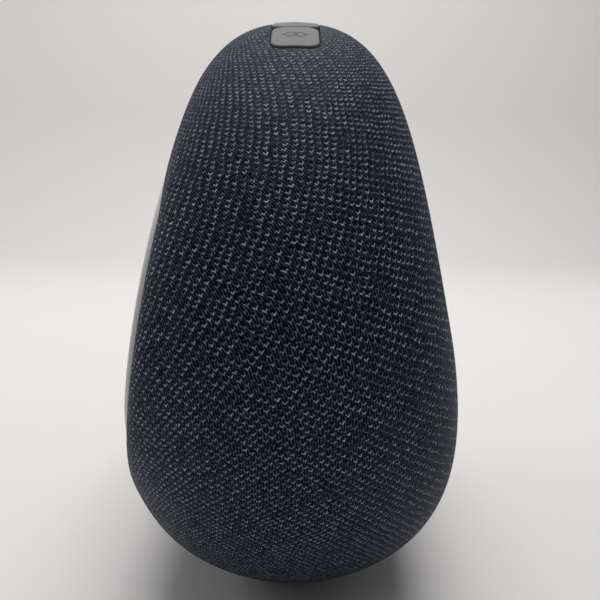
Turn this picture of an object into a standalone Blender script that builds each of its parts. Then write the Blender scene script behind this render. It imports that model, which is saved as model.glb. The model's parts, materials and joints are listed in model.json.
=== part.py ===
"""Bedside smart home hub: an egg-shaped body in a knitted sleeve, with a pill-shaped glass front that
leans back, a row of soft keys on the crown, a loudspeaker behind each end and a passive radiator behind
the back. Metres, +Z up. The front looks along -Y, the width runs along X, and the origin is on the
ground under the middle of the foot."""

import math

import bmesh
import bpy
from mathutils import Matrix, Vector

MM = 0.001
GAP = 0.3 * MM

# Outside of the knitted body.
HEIGHT = 152.0 * MM
HALF_WIDTH = 105.0 * MM
END_REACH = 75.0 * MM          # how far the rounded end of the front outline runs along X
OUTLINE_POWER_LOW = 1.74
OUTLINE_POWER_HIGH = 1.79
DEPTH_LOW = 69.4 * MM          # half depth that the profile starts from at the ground
DEPTH_HIGH = 35.1 * MM         # and at the crown
DEPTH_WAIST = -15.0 * MM       # drawn in halfway up
DEPTH_POWER_LOW = 1.77
DEPTH_POWER_HIGH = 2.40
CAP_SHARE = 0.983              # length of each end cap as a share of the half depth
RING_STEPS = 32
HEIGHT_STEPS = 18
CAP_ANGLE = math.radians(67.5) # part of each quarter turn that goes round the end cap

SLEEVE_THICK = 1.2 * MM
HOUSING_THICK = 2.2 * MM

# Front: a flat face that leans back, with a pill outline.
FRONT_FOOT = 49.6 * MM         # how far in front of the origin the face would meet the ground
FRONT_SLOPE = 0.178
FRONT_LEAN = math.atan(FRONT_SLOPE)
PANEL_HEIGHT = 83.0 * MM
PANEL_STRAIGHT = 42.0 * MM
PANEL_STEPS = 16               # facets round each end of every outline on the front
BEZEL_OUTER = 40.5 * MM
BEZEL_INNER = 38.0 * MM
BEZEL_LEDGE = 36.0 * MM
BEZEL_DEEP = 6.0 * MM
GLASS_RADIUS = BEZEL_INNER - GAP
GLASS_SINK = 0.2 * MM
GLASS_THICK = 1.3 * MM
DISPLAY_SIZE = (110.0 * MM, 65.0 * MM, 3.2 * MM)
DISPLAY_TOP = -1.8 * MM
BACKPLATE_TOP = -5.3 * MM
BACKPLATE_THICK = 0.7 * MM
CHASSIS_TOP = -BEZEL_DEEP - GAP
CHASSIS_THICK = 2.2 * MM
BOARD_TOP = -12.8 * MM
BOARD_SIZE = (96.0 * MM, 54.0 * MM, 1.6 * MM)
CHASSIS_SCREW = (69.0 * MM, 27.0 * MM)

# Keys, along the ridge of the crown.
KEY_WIDTH = 11.6 * MM
KEY_RISE = 0.2 * MM
KEY_THICK = 1.7 * MM
KEY_TRAVEL = 0.6 * MM
KEY_CORNER = 2.4 * MM
KEYS = {
    "key_mute": (-54.5 * MM, 15.2 * MM),
    "key_volume_down": (-39.3 * MM, 14.9 * MM),
    "key_action": (0.0, 62.0 * MM),
    "key_volume_up": (39.3 * MM, 14.9 * MM),
    "key_pair": (54.5 * MM, 15.2 * MM),
}
SLOT_HALF = (62.2 * MM, 6.3 * MM)
TRAY_TOP = KEY_THICK - KEY_RISE + KEY_TRAVEL + GAP
TRAY_THICK = 1.6 * MM
TRAY_STEPS = 14                # straight stretches that follow the crown
STEM_RADIUS = 1.8 * MM
STEM_END = 5.3 * MM
SWITCH_TOP = 6.0 * MM
SWITCH_THICK = 1.6 * MM
KEY_BOARD_TOP = 7.9 * MM
KEY_BOARD_THICK = 0.9 * MM
TRAY_POSTS = (31.5 * MM, 47.1 * MM)

# Loudspeakers, one behind each end, and the passive radiator behind the back.
SPEAKER_HEIGHT = 72.0 * MM
SPEAKER_FACE = 86.0 * MM
SPEAKER_RADIUS = 26.8 * MM
SPEAKER_OPENING = 21.5 * MM
RADIATOR_HEIGHT = 66.0 * MM
RADIATOR_FACE = 7.3 * MM       # below the outer surface
RADIATOR_RADIUS = 24.0 * MM
RADIATOR_OPENING = 19.2 * MM

# Power inlet, low on the back.
SOCKET_HEIGHT = 26.0 * MM
SOCKET_FACE = 36.0 * MM
SOCKET_RECESS = (6.7 * MM, 3.7 * MM)

# Base.
BASE_HALF = (43.0 * MM, 13.0 * MM)
BASE_LOW = 2.6 * MM
BASE_HIGH = 5.0 * MM
FOOT_HIGH = 2.3 * MM
BALLAST_HIGH = 12.3 * MM
BASE_SCREW = (36.0 * MM, 6.5 * MM)


def clear_scene():
    for item in list(bpy.data.objects):
        bpy.data.objects.remove(item, do_unlink=True)


def collection(name):
    made = bpy.data.collections.new(name)
    bpy.context.scene.collection.children.link(made)
    return made


def material(name, colour, roughness, metallic=0.0):
    made = bpy.data.materials.new(name)
    made.use_nodes = True
    shader = made.node_tree.nodes["Principled BSDF"]
    shader.inputs["Base Color"].default_value = (*colour, 1.0)
    shader.inputs["Roughness"].default_value = roughness
    shader.inputs["Metallic"].default_value = metallic
    made.diffuse_color = (*colour, 1.0)
    return made


clear_scene()
PARTS = collection("smart_home_hub")
CUTTERS = collection("cutters")

KNIT = ("knit", (0.020, 0.023, 0.030), 0.9)
DARK_PLASTIC = ("dark_plastic", (0.03, 0.03, 0.032), 0.6)
GREY_PLASTIC = ("grey_plastic", (0.40, 0.41, 0.42), 0.5)
KEY_RUBBER = ("key_rubber", (0.22, 0.22, 0.23), 0.65)
GLASS = ("black_glass", (0.005, 0.005, 0.006), 0.06)
PANEL = ("display", (0.02, 0.02, 0.03), 0.3)
STEEL = ("steel", (0.55, 0.56, 0.57), 0.35, 1.0)
ALUMINIUM = ("aluminium", (0.72, 0.73, 0.74), 0.4, 1.0)
BOARD = ("circuit_board", (0.015, 0.09, 0.05), 0.5)
FLEX = ("flex_film", (0.45, 0.22, 0.05), 0.4)
CONE_PAPER = ("cone_paper", (0.04, 0.04, 0.045), 0.8)
RUBBER = ("rubber", (0.025, 0.025, 0.027), 0.85)
MAGNET = ("magnet", (0.10, 0.10, 0.11), 0.5, 0.6)


def finish(name, mesh, look, frame=None, cutter=False):
    """Wrap a mesh in an object, in the right collection and under its frame."""
    made = bpy.data.objects.new(name, mesh)
    if cutter:
        CUTTERS.objects.link(made)
        made.hide_render = True
        made.display_type = "WIRE"
    else:
        PARTS.objects.link(made)
        mesh.materials.append(material(name + "_" + look[0], *look[1:]))
    if frame:
        made.parent = frame
    return made


def frame_empty(name, location, rotation=(0.0, 0.0, 0.0)):
    made = bpy.data.objects.new(name, None)
    made.location = location
    made.rotation_euler = rotation
    made.empty_display_size = 5.0 * MM
    CUTTERS.objects.link(made)
    return made


def smooth(item, degrees=35.0):
    item.data.shade_smooth()
    item.data.set_sharp_from_angle(angle=math.radians(degrees))


# ---- outlines ----

def pill(half_length, radius, steps=12):
    """A straight-sided outline with a half circle at each end; half_length counts the circle."""
    straight = half_length - radius
    points = []
    for side in (1, -1):
        for step in range(steps + 1):
            angle = math.pi * (step / steps - side / 2)
            points.append((side * straight + radius * math.cos(angle), radius * math.sin(angle)))
    return points


def rounded_box(half_x, half_y, radius, steps=4):
    points = []
    for quarter, (sx, sy) in enumerate(((1, 1), (-1, 1), (-1, -1), (1, -1))):
        for step in range(steps + 1):
            angle = math.pi / 2 * (quarter + step / steps)
            points.append((sx * (half_x - radius) + radius * math.cos(angle),
                           sy * (half_y - radius) + radius * math.sin(angle)))
    return points


def outline_mesh(name, outlines, low, high):
    """Fill flat outlines (a second one is a hole) and give them thickness from low to high."""
    curve = bpy.data.curves.new(name, "CURVE")
    curve.dimensions = "2D"
    curve.fill_mode = "BOTH"
    curve.extrude = (high - low) / 2
    for points in outlines:
        spline = curve.splines.new("POLY")
        spline.points.add(len(points) - 1)
        for point, (x, y) in zip(spline.points, points):
            point.co = (x, y, 0.0, 1.0)
        spline.use_cyclic_u = True
    guide = bpy.data.objects.new(name + "_curve", curve)
    CUTTERS.objects.link(guide)
    shape = guide.evaluated_get(bpy.context.evaluated_depsgraph_get())
    mesh = bpy.data.meshes.new_from_object(shape)
    bpy.data.objects.remove(guide, do_unlink=True)
    bm = bmesh.new()
    bm.from_mesh(mesh)
    bmesh.ops.remove_doubles(bm, verts=bm.verts, dist=0.01 * MM)
    bmesh.ops.translate(bm, verts=bm.verts, vec=(0.0, 0.0, (low + high) / 2))
    bmesh.ops.recalc_face_normals(bm, faces=bm.faces)
    bm.to_mesh(mesh)
    bm.free()
    return mesh


def slab(name, outlines, low, high, look=None, frame=None):
    mesh = outline_mesh(name, outlines, low, high)
    return finish(name, mesh, look, frame, cutter=look is None)


def box(name, size, centre, look=None, frame=None):
    mesh = bpy.data.meshes.new(name)
    bm = bmesh.new()
    bmesh.ops.create_cube(bm, size=1.0, matrix=Matrix.Translation(centre) @ Matrix.Diagonal((*size, 1.0)))
    bm.to_mesh(mesh)
    bm.free()
    return finish(name, mesh, look, frame, cutter=look is None)


def cylinder(name, radius, low, high, look=None, frame=None, centre=(0.0, 0.0), sides=24):
    mesh = bpy.data.meshes.new(name)
    bm = bmesh.new()
    middle = Vector((centre[0], centre[1], (low + high) / 2))
    bmesh.ops.create_cone(bm, cap_ends=True, segments=sides, radius1=radius, radius2=radius,
                          depth=high - low, matrix=Matrix.Translation(middle))
    bm.to_mesh(mesh)
    bm.free()
    return finish(name, mesh, look, frame, cutter=look is None)


def turned(name, profile, look, frame, sides=24, closed=True):
    """Turn a profile of (radius, height) points about the frame's Z axis."""
    mesh = bpy.data.meshes.new(name)
    bm = bmesh.new()
    rail = [bm.verts.new((radius, 0.0, height)) for radius, height in profile]
    for start, end in zip(rail, rail[1:]):
        bm.edges.new((start, end))
    if closed:
        bm.edges.new((rail[-1], rail[0]))
    bm.to_mesh(mesh)
    bm.free()
    made = finish(name, mesh, look, frame)
    screw = made.modifiers.new("turn", "SCREW")
    screw.steps = screw.render_steps = sides
    screw.use_merge_vertices = True
    screw.merge_threshold = 0.01 * MM
    return made


def boolean(item, cutter, operation="DIFFERENCE"):
    made = item.modifiers.new(operation.lower() + "_" + cutter.name, "BOOLEAN")
    made.operation = operation
    made.solver = "EXACT"
    made.object = cutter


def bevel(item, width, segments=2, degrees=50.0):
    made = item.modifiers.new("bevel", "BEVEL")
    made.width = width
    made.segments = segments
    made.limit_method = "ANGLE"
    made.angle_limit = math.radians(degrees)


# ---- the body's outer shape ----

def swell(share, power):
    """Half breadth of a superellipse, 1 at the middle and 0 at share 1."""
    return max(1.0 - share ** power, 0.0) ** (1.0 / power)


def half_width(height):
    share = abs(2.0 * height / HEIGHT - 1.0)
    power = OUTLINE_POWER_LOW if height < HEIGHT / 2 else OUTLINE_POWER_HIGH
    return HALF_WIDTH - END_REACH + END_REACH * swell(share, power)


def half_depth(height):
    share = abs(2.0 * height / HEIGHT - 1.0)
    power = DEPTH_POWER_LOW if height < HEIGHT / 2 else DEPTH_POWER_HIGH
    rise = height / HEIGHT
    base = DEPTH_LOW + (DEPTH_HIGH - DEPTH_LOW) * rise + DEPTH_WAIST * 4.0 * rise * (1.0 - rise)
    return base * swell(share, power)


def ridge_height(x):
    """Height of the crown above the point x on the X axis."""
    reach = max(abs(x) - (HALF_WIDTH - END_REACH), 0.0) / END_REACH
    return HEIGHT / 2 * (1.0 + swell(reach, OUTLINE_POWER_HIGH))


def ridge_tilt(x):
    step = 0.5 * MM
    return math.atan2(ridge_height(x - step) - ridge_height(x + step), 2.0 * step)


def ridge_point(x, depth):
    """Point below the crown, measured square to it."""
    tilt = ridge_tilt(x)
    return x - depth * math.sin(tilt), ridge_height(x) - depth * math.cos(tilt)


def egg_mesh(name, inset):
    """The body's outer surface, moved inwards by inset: a ball whose points follow the two profiles."""
    mesh = bpy.data.meshes.new(name)
    bm = bmesh.new()
    bmesh.ops.create_uvsphere(bm, u_segments=RING_STEPS, v_segments=HEIGHT_STEPS, radius=1.0)
    for vert in bm.verts:
        x, y, z = vert.co
        height = HEIGHT / 2 * (1.0 + max(-1.0, min(1.0, z)))
        depth = half_depth(height)
        width = half_width(height)
        cap = min(depth * CAP_SHARE, width)
        turn = math.atan2(abs(y), abs(x))
        if abs(z) > 0.9999:
            vert.co = (0.0, 0.0, height)
            continue
        if turn <= CAP_ANGLE + 0.001:
            angle = math.pi / 2 * turn / CAP_ANGLE
            along = width - cap + cap * math.cos(angle)
            across = depth * math.sin(angle)
        else:
            along = (width - cap) * (math.pi / 2 - turn) / (math.pi / 2 - CAP_ANGLE)
            across = depth
        vert.co = (math.copysign(along, x), math.copysign(across, y), height)
    bm.normal_update()
    moves = [vert.normal * inset for vert in bm.verts]
    for vert, move in zip(bm.verts, moves):
        vert.co -= move
    bm.to_mesh(mesh)
    bm.free()
    return mesh


def shell(name, inset, thickness, look):
    made = finish(name, egg_mesh(name, inset), look)
    wall = made.modifiers.new("wall", "SOLIDIFY")
    wall.thickness = thickness
    wall.offset = -1.0
    wall.use_even_offset = True
    smooth(made)
    return made


# ---- frames ----

PANEL_ORIGIN = (0.0, -(FRONT_FOOT - FRONT_SLOPE * PANEL_HEIGHT), PANEL_HEIGHT)
front = frame_empty("front_frame", PANEL_ORIGIN, (math.pi / 2 - FRONT_LEAN, 0.0, 0.0))
right_end = frame_empty("right_end_frame", (SPEAKER_FACE, 0.0, SPEAKER_HEIGHT), (0.0, math.pi / 2, 0.0))
left_end = frame_empty("left_end_frame", (-SPEAKER_FACE, 0.0, SPEAKER_HEIGHT), (0.0, -math.pi / 2, 0.0))
rear = frame_empty("rear_frame", (0.0, half_depth(RADIATOR_HEIGHT), RADIATOR_HEIGHT),
                   (-(math.pi / 2 - FRONT_LEAN), 0.0, 0.0))
socket = frame_empty("socket_frame", (0.0, SOCKET_FACE, SOCKET_HEIGHT), (-math.pi / 2, 0.0, 0.0))
bpy.context.view_layer.update()

# ---- cutters shared by the sleeve and the housing ----

panel_hole = slab("panel_hole", [pill(PANEL_STRAIGHT + BEZEL_OUTER + GAP, BEZEL_OUTER + GAP, PANEL_STEPS)],
                  -16.0 * MM, 14.0 * MM, frame=front)
key_hole = slab("key_hole", [rounded_box(*SLOT_HALF, KEY_CORNER)], 125.0 * MM, 160.0 * MM)
base_hole = slab("base_hole", [pill(*BASE_HALF)], -5.0 * MM, 14.0 * MM)
socket_hole = slab("socket_hole", [rounded_box(*SOCKET_RECESS, 3.0 * MM)],
                   -10.0 * MM, 14.0 * MM, frame=socket)


def shells():
    sleeve = shell("fabric_sleeve", 0.0, SLEEVE_THICK, KNIT)
    housing = shell("rear_housing", SLEEVE_THICK + GAP, HOUSING_THICK, DARK_PLASTIC)
    core = finish("housing_core", egg_mesh("housing_core", SLEEVE_THICK + 1.2 * MM), None, cutter=True)
    seats = (
        ("right_seat", right_end, SPEAKER_RADIUS, SPEAKER_OPENING, GAP, 16.0 * MM),
        ("left_seat", left_end, SPEAKER_RADIUS, SPEAKER_OPENING, GAP, 16.0 * MM),
        ("rear_seat", rear, RADIATOR_RADIUS, RADIATOR_OPENING, GAP - RADIATOR_FACE, 6.0 * MM),
    )
    for name, frame, radius, opening, low, high in seats:
        seat = cylinder(name, radius, low, high, frame=frame, sides=24)
        boolean(seat, core, "INTERSECT")
        boolean(housing, seat, "UNION")
        mouth = cylinder(name + "_mouth", opening, low - 5.0 * MM, high + 12.0 * MM, frame=frame, sides=24)
        boolean(housing, mouth)
    for item in (sleeve, housing):
        for cutter in (panel_hole, key_hole, base_hole, socket_hole):
            boolean(item, cutter)


def front_group():
    ring = slab("front_bezel", [pill(PANEL_STRAIGHT + BEZEL_OUTER, BEZEL_OUTER, PANEL_STEPS),
                                pill(PANEL_STRAIGHT + BEZEL_LEDGE, BEZEL_LEDGE, PANEL_STEPS)],
                -BEZEL_DEEP, 0.0, GREY_PLASTIC, front)
    seat = slab("glass_seat", [pill(PANEL_STRAIGHT + BEZEL_INNER, BEZEL_INNER, PANEL_STEPS)],
                -GLASS_SINK - GLASS_THICK - 0.2 * MM, 2.0 * MM, frame=front)
    boolean(ring, seat)
    glass = slab("cover_glass", [pill(PANEL_STRAIGHT + GLASS_RADIUS, GLASS_RADIUS, PANEL_STEPS)],
                 -GLASS_SINK - GLASS_THICK, -GLASS_SINK, GLASS, front)
    width, height, thick = DISPLAY_SIZE
    box("display_panel", DISPLAY_SIZE, (0.0, 0.0, DISPLAY_TOP - thick / 2), PANEL, front)
    box("display_backplate", (width - 2.0 * MM, height - 2.0 * MM, BACKPLATE_THICK),
        (0.0, 0.0, BACKPLATE_TOP - BACKPLATE_THICK / 2), ALUMINIUM, front)
    chip = 1.2 * MM
    sensor_line = height / 2 + 1.6 * MM
    box("light_sensor", (3.0 * MM, 1.8 * MM, chip), (0.0, sensor_line, DISPLAY_TOP - chip / 2), BOARD, front)
    for side, name in ((-1, "microphone_left"), (1, "microphone_right")):
        box(name, (3.6 * MM, 2.0 * MM, chip), (side * 18.0 * MM, sensor_line, DISPLAY_TOP - chip / 2),
            STEEL, front)
        hole = cylinder(name + "_hole", 0.5 * MM, -3.0 * MM, 2.0 * MM, frame=front,
                        centre=(side * 18.0 * MM, sensor_line), sides=10)
        boolean(glass, hole)

    chassis_bottom = CHASSIS_TOP - CHASSIS_THICK
    chassis = slab("front_chassis", [pill(PANEL_STRAIGHT + BEZEL_OUTER, BEZEL_OUTER, PANEL_STEPS)],
                   chassis_bottom, CHASSIS_TOP, DARK_PLASTIC, front)
    board_x = BOARD_SIZE[0] / 2 - 5.0 * MM
    board_y = BOARD_SIZE[1] / 2 - 5.0 * MM
    for number, (sx, sy) in enumerate(((1, 1), (-1, 1), (-1, -1), (1, -1)), 1):
        post = cylinder(f"standoff_{number}", 2.6 * MM, BOARD_TOP + GAP, chassis_bottom + 1.0 * MM,
                        frame=front, centre=(sx * board_x, sy * board_y), sides=12)
        boolean(chassis, post, "UNION")
        place = (sx * CHASSIS_SCREW[0], sy * CHASSIS_SCREW[1])
        bore = cylinder(f"bezel_bore_{number}", 1.4 * MM, -12.0 * MM, -3.4 * MM, frame=front,
                        centre=place, sides=12)
        boolean(ring, bore)
        boolean(chassis, bore)
        screw(f"chassis_screw_{number}", place, chassis_bottom - GAP, 4.6 * MM, -1, front)
    slot = box("ribbon_slot", (18.0 * MM, 1.6 * MM, 8.0 * MM), (-20.0 * MM, -30.0 * MM, chassis_bottom))
    slot.parent = front
    boolean(chassis, slot)


def screw(name, place, seat, reach, way, frame=None):
    """Pan-head screw whose head sits on seat; way is the side the head is on along Z."""
    head = 1.5 * MM
    profile = [
        (0.0, head), (1.7 * MM, head), (2.4 * MM, 0.4 * head), (2.4 * MM, 0.0),
        (1.1 * MM, 0.0), (1.1 * MM, -reach), (0.0, -reach),
    ]
    holder = frame_empty(name + "_axis", (*place, seat), (math.pi if way < 0 else 0.0, 0.0, 0.0))
    holder.parent = frame
    turned(name, profile, STEEL, holder, sides=12, closed=False)


def electronics():
    width, height, thick = BOARD_SIZE
    board_bottom = BOARD_TOP - thick
    box("main_board", BOARD_SIZE, (0.0, 0.0, BOARD_TOP - thick / 2), BOARD, front)
    can = 3.4 * MM
    shield = box("shield_can", (34.0 * MM, 34.0 * MM, can), (10.0 * MM, 0.0, board_bottom - GAP - can / 2),
                 STEEL, front)
    bevel(shield, 0.6 * MM)
    sink_top = board_bottom - 2 * GAP - can
    box("heat_spreader", (44.0 * MM, 40.0 * MM, 1.2 * MM), (10.0 * MM, 0.0, sink_top - 0.6 * MM),
        ALUMINIUM, front)
    box("radio_module", (14.0 * MM, 18.0 * MM, 2.2 * MM), (-30.0 * MM, 8.0 * MM, board_bottom - GAP - 1.1 * MM),
        STEEL, front)
    for side, name in ((-1, "antenna_left"), (1, "antenna_right")):
        box(name, (6.0 * MM, 26.0 * MM, 0.5 * MM), (side * 58.0 * MM, 0.0, CHASSIS_TOP - CHASSIS_THICK
            - GAP - 0.25 * MM), FLEX, front)
    ribbon_low = BOARD_TOP + GAP
    ribbon_high = CHASSIS_TOP
    box("display_ribbon", (15.0 * MM, 0.3 * MM, ribbon_high - ribbon_low),
        (-20.0 * MM, -30.0 * MM + 0.2 * MM, (ribbon_high + ribbon_low) / 2), FLEX, front)


def ridge_strip(name, top, thick, half, reach, look):
    """A strip that follows the crown, its top face this far below it."""
    stations = [reach * (2.0 * step / TRAY_STEPS - 1.0) for step in range(TRAY_STEPS + 1)]
    outline = [ridge_point(x, top + thick) for x in stations]
    outline += [ridge_point(x, top) for x in reversed(stations)]
    upright = frame_empty(name + "_axis", (0.0, 0.0, 0.0), (math.pi / 2, 0.0, 0.0))
    return slab(name, [outline], -half, half, look, upright)


def keys():
    hole_list = []
    for name, (x, length) in KEYS.items():
        tilt = ridge_tilt(x)
        frame = frame_empty(name + "_axis", (x, 0.0, ridge_height(x)), (0.0, tilt, 0.0))
        cap = slab(name, [rounded_box(length / 2, KEY_WIDTH / 2, KEY_CORNER)],
                   KEY_RISE - KEY_THICK, KEY_RISE, KEY_RUBBER, frame)
        bevel(cap, 0.35 * MM, segments=1)
        stem = cylinder(name + "_stem", STEM_RADIUS, -STEM_END, KEY_RISE - KEY_THICK + 0.8 * MM,
                        frame=frame, sides=16)
        boolean(cap, stem, "UNION")
        hole_list.append(cylinder(name + "_guide", STEM_RADIUS + GAP, -6.0 * MM, -1.0 * MM,
                                  frame=frame, sides=16))
        box(name.replace("key", "switch"), (4.6 * MM, 4.6 * MM, SWITCH_THICK),
            (0.0, 0.0, -SWITCH_TOP - SWITCH_THICK / 2), STEEL, frame)

    tray = ridge_strip("key_tray", TRAY_TOP, TRAY_THICK, SLOT_HALF[1] - GAP, SLOT_HALF[0] - 4 * GAP,
                       DARK_PLASTIC)
    for hole in hole_list:
        boolean(tray, hole)
    for number, place in enumerate((-TRAY_POSTS[1], -TRAY_POSTS[0], TRAY_POSTS[0], TRAY_POSTS[1]), 1):
        frame = frame_empty(f"tray_post_{number}_axis", (place, 0.0, ridge_height(place)),
                            (0.0, ridge_tilt(place), 0.0))
        low = KEY_BOARD_TOP - GAP
        high = TRAY_TOP + TRAY_THICK / 2
        post = box(f"tray_post_{number}", (2.0 * MM, 8.0 * MM, low - high), (0.0, 0.0, -(low + high) / 2),
                   frame=frame)
        boolean(tray, post, "UNION")
    ridge_strip("key_board", KEY_BOARD_TOP, KEY_BOARD_THICK, 5.0 * MM, 58.0 * MM, BOARD)


def speaker(side, frame):
    turned(f"speaker_basket_{side}", [
        (21.2 * MM, 0.0), (SPEAKER_RADIUS, 0.0), (SPEAKER_RADIUS, -2.0 * MM), (22.6 * MM, -2.0 * MM),
        (13.6 * MM, -14.0 * MM), (5.2 * MM, -14.0 * MM), (5.2 * MM, -12.6 * MM),
        (12.6 * MM, -12.6 * MM), (21.2 * MM, -1.8 * MM)], STEEL, frame)
    cylinder(f"speaker_magnet_{side}", 12.0 * MM, -22.0 * MM, -14.3 * MM, MAGNET, frame)
    turned(f"speaker_surround_{side}", [
        (17.3 * MM, 0.0), (18.1 * MM, 1.1 * MM), (19.1 * MM, 1.5 * MM), (20.1 * MM, 1.1 * MM),
        (20.9 * MM, 0.0), (20.9 * MM, -0.6 * MM), (17.3 * MM, -0.6 * MM)], RUBBER, frame)
    turned(f"speaker_cone_{side}", [
        (0.0, -5.4 * MM), (2.6 * MM, -5.9 * MM), (4.6 * MM, -7.2 * MM), (17.0 * MM, -0.2 * MM),
        (17.0 * MM, -1.0 * MM), (4.4 * MM, -8.2 * MM), (4.4 * MM, -12.3 * MM), (3.4 * MM, -12.3 * MM),
        (3.4 * MM, -7.4 * MM), (0.0, -6.4 * MM)], CONE_PAPER, frame, closed=False)


def radiator():
    top = -RADIATOR_FACE
    turned("radiator_frame", [
        (19.6 * MM, top), (RADIATOR_RADIUS, top), (RADIATOR_RADIUS, top - 2.4 * MM),
        (19.6 * MM, top - 2.4 * MM)], DARK_PLASTIC, rear)
    turned("radiator_surround", [
        (14.6 * MM, top - 0.8 * MM), (15.8 * MM, top + 0.5 * MM), (17.0 * MM, top + 0.9 * MM),
        (18.2 * MM, top + 0.5 * MM), (19.0 * MM, top - 0.8 * MM), (19.0 * MM, top - 1.5 * MM),
        (14.6 * MM, top - 1.5 * MM)], RUBBER, rear)
    cylinder("radiator_plate", 14.2 * MM, top - 2.0 * MM, top - 0.4 * MM, CONE_PAPER, rear)


def power_inlet():
    shell_block = slab("power_socket", [rounded_box(4.9 * MM, 1.9 * MM, 1.8 * MM)], -9.0 * MM, -0.3 * MM,
                       STEEL, socket)
    mouth = slab("socket_mouth", [rounded_box(4.3 * MM, 1.35 * MM, 1.3 * MM)], -7.0 * MM, 3.0 * MM,
                 frame=socket)
    boolean(shell_block, mouth)
    slab("socket_trim", [rounded_box(SOCKET_RECESS[0] - GAP, SOCKET_RECESS[1] - GAP, 2.7 * MM),
                         rounded_box(5.2 * MM, 2.2 * MM, 2.0 * MM)], -2.2 * MM, 1.2 * MM,
         GREY_PLASTIC, socket)
    box("power_board", (22.0 * MM, 14.0 * MM, 1.6 * MM), (0.0, 0.0, -10.1 * MM), BOARD, socket)


def base():
    plate = slab("base_plate", [pill(BASE_HALF[0] - GAP, BASE_HALF[1] - GAP)], BASE_LOW, BASE_HIGH,
                 DARK_PLASTIC)
    ballast = slab("ballast", [pill(41.0 * MM, 12.3 * MM)], BASE_HIGH + GAP, BALLAST_HIGH, STEEL)
    slab("rubber_foot", [pill(41.0 * MM, 11.6 * MM)], 0.0, FOOT_HIGH, RUBBER)
    for number, (sx, sy) in enumerate(((1, 1), (-1, 1), (-1, -1), (1, -1)), 1):
        place = (sx * BASE_SCREW[0], sy * BASE_SCREW[1])
        seat = BASE_LOW + 1.7 * MM
        pocket = cylinder(f"screw_pocket_{number}", 2.8 * MM, BASE_LOW - 1.0 * MM, seat, centre=place, sides=12)
        bore = cylinder(f"screw_bore_{number}", 1.4 * MM, seat - 0.5 * MM, BALLAST_HIGH - 2.0 * MM,
                        centre=place, sides=12)
        boolean(plate, pocket)
        boolean(plate, bore)
        boolean(ballast, bore)
        screw(f"base_screw_{number}", place, seat - GAP / 3, 5.0 * MM, -1)


def lead(name, points):
    """A thin round lead along a smooth path through its own points."""
    curve = bpy.data.curves.new(name, "CURVE")
    curve.dimensions = "3D"
    curve.bevel_depth = 0.8 * MM
    curve.bevel_resolution = 2
    curve.use_fill_caps = True
    spline = curve.splines.new("POLY")
    path = []
    for before, start, end, after in zip(points, points[1:], points[2:], points[3:]):
        for step in range(3):
            t = step / 3
            path.append(0.5 * (2 * start + (end - before) * t + (2 * before - 5 * start + 4 * end - after) * t * t
                               + (3 * start - before - 3 * end + after) * t ** 3))
    path.append(points[-2])
    spline.points.add(len(path) - 1)
    for point, place in zip(spline.points, path):
        point.co = (*place, 1.0)
    made = bpy.data.objects.new(name, curve)
    curve.materials.append(material(name + "_jacket", *RUBBER[1:]))
    PARTS.objects.link(made)


def leads():
    for side, name in ((-1, "speaker_lead_left"), (1, "speaker_lead_right")):
        board_edge = Vector((side * 48.4, -15.0, 60.0)) * MM
        points = [board_edge - Vector((side * 6.0, 0.0, 0.0)) * MM, board_edge]
        points += [Vector((side * x, y, z)) * MM for x, y, z in (
            (54.0, -12.0, 52.0), (60.0, -8.0, 48.0), (68.0, -7.0, 47.5), (76.0, -7.0, 47.0))]
        lead(name, points)


shells()
front_group()
electronics()
keys()
speaker("right", right_end)
speaker("left", left_end)
radiator()
power_inlet()
base()
leads()
bpy.context.view_layer.update()
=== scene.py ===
# %% [markdown]
# # A bedside smart home hub
# The object is an egg-shaped speaker body in a knitted sleeve, with a pill-shaped glass front that leans
# back and a row of soft grey keys along its crown. The sizes are fixed by the CAD model. This notebook
# gives each visible piece its finished surface, one step at a time.

# %% Load the frame
import json
import math

import bmesh
import bpy
import numpy as np
from mathutils import Matrix, Vector

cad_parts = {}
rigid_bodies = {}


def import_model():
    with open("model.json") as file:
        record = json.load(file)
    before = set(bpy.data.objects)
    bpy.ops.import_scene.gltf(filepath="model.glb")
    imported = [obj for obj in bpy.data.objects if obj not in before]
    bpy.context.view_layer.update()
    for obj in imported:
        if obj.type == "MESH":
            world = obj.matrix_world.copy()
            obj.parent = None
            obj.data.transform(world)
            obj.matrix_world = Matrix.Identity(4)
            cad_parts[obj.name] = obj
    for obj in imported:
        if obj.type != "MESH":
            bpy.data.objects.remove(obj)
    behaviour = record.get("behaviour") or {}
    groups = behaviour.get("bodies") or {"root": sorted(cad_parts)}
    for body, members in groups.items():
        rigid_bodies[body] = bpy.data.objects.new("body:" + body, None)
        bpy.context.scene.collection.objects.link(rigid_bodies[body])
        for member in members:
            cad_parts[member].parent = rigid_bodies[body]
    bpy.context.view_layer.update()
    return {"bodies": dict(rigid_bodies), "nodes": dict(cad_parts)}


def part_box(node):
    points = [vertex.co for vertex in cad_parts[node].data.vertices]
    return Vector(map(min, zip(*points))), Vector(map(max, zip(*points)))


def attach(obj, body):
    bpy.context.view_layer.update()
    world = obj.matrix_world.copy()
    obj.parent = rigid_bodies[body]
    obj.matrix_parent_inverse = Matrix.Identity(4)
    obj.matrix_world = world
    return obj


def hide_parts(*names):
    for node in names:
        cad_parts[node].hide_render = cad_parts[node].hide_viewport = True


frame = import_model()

MM = 0.001
nodes = frame["nodes"]

# %% [markdown]
# Colours are given as sRGB hex values, but a shader works in linear light. One function turns the
# hex into linear numbers, so every colour goes through the same door. A second function adds any node with
# its settings and its inputs, so a material reads as a list of steps.

# %% Colours and nodes
def linear(hex_colour):
    """A Blender colour from an sRGB hex value."""
    channels = [int(hex_colour[i:i + 2], 16) / 255 for i in (1, 3, 5)]
    return (*[c / 12.92 if c <= 0.04045 else ((c + 0.055) / 1.055) ** 2.4 for c in channels], 1.0)


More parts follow.
